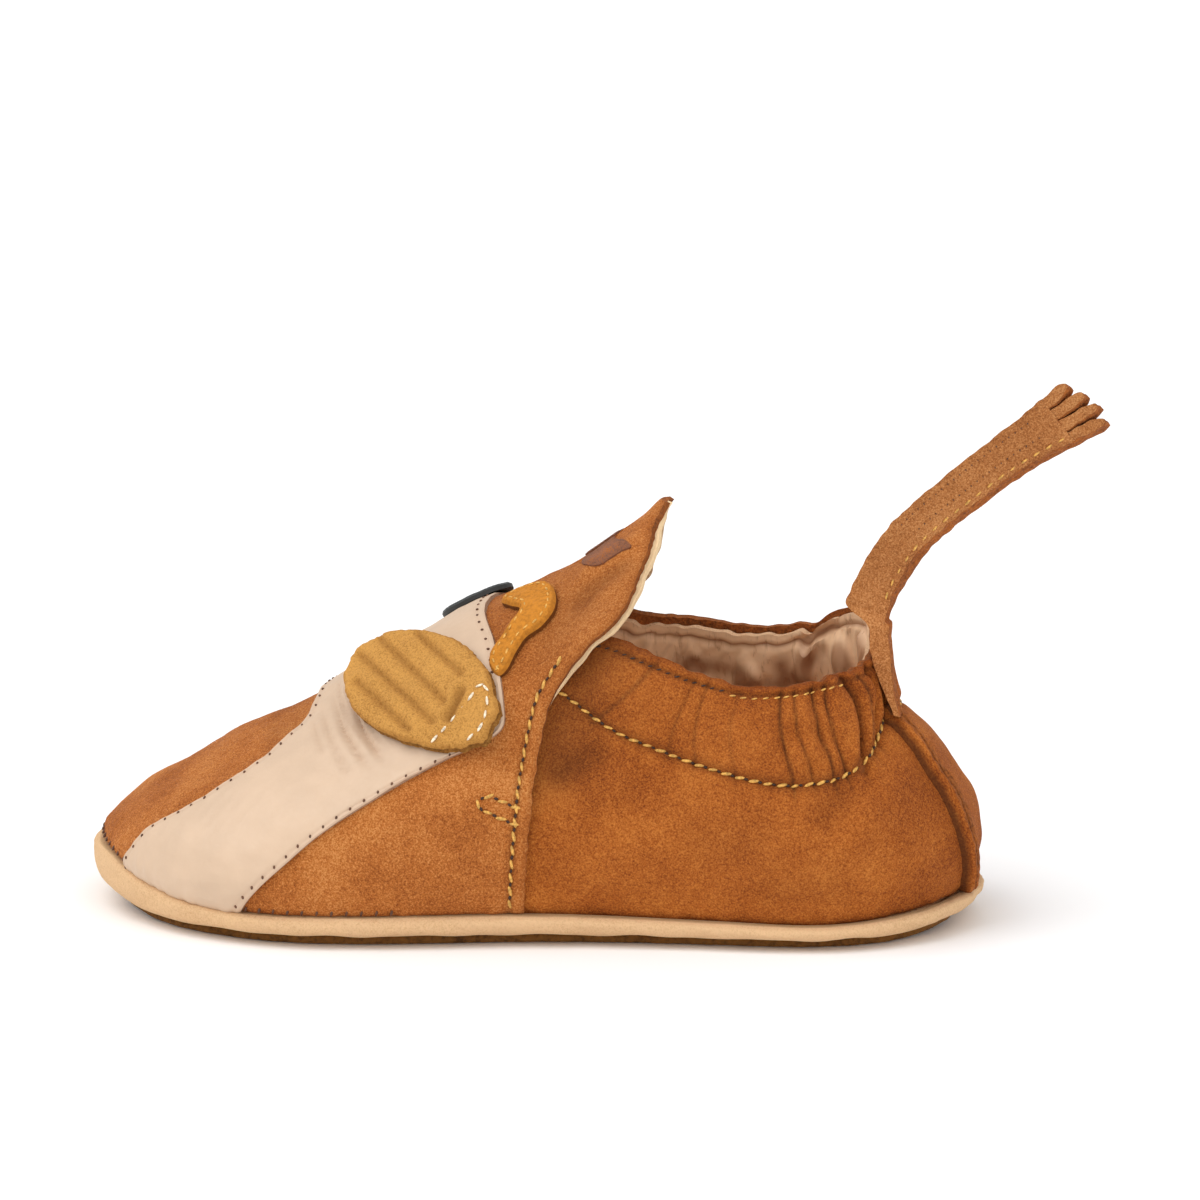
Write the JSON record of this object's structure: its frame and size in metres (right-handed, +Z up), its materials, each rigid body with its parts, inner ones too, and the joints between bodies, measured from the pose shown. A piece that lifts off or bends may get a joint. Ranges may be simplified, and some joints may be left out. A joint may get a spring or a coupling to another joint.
{
  "type": "toddler slipper",
  "caption": "Soft leather slip-on toddler slipper with a plain animal face, standing ears and horns, a pointed throat flap, gathered collar and raised strap tail.",
  "frame": {"origin": "on the floor under the middle of the sole, on the outsole's flat underside", "axes": "+X from toe to heel along the shoe's length, +Y towards the inner side (the shoe is a left one), +Z up from the floor"},
  "size_m": [0.1489, 0.0622, 0.0789],
  "materials": {
    "nubuck": "matt brown nubuck with a short nap",
    "sole_leather": "pale peach suede",
    "outsole_suede": "olive-brown rough suede",
    "sock": "smooth cream lining leather",
    "pale_leather": "smooth cream leather, slight sheen",
    "mustard_suede": "mustard suede with a raw edge",
    "dark_leather": "smooth near-black leather",
    "mauve_suede": "brown-mauve suede"
  },
  "bodies": {
    "root": {"outsole": "outsole_suede", "sole": "sole_leather", "insole": "sock", "upper": "nubuck", "face_overlay": "pale_leather", "ear_left": "mustard_suede", "ear_right": "mustard_suede", "horn_left": "mustard_suede", "horn_right": "mustard_suede", "forelock_left": "mauve_suede", "forelock_right": "mauve_suede", "dark_patch": "dark_leather", "back_seam": "nubuck", "tail": "nubuck"}
  },
  "joints": []
}
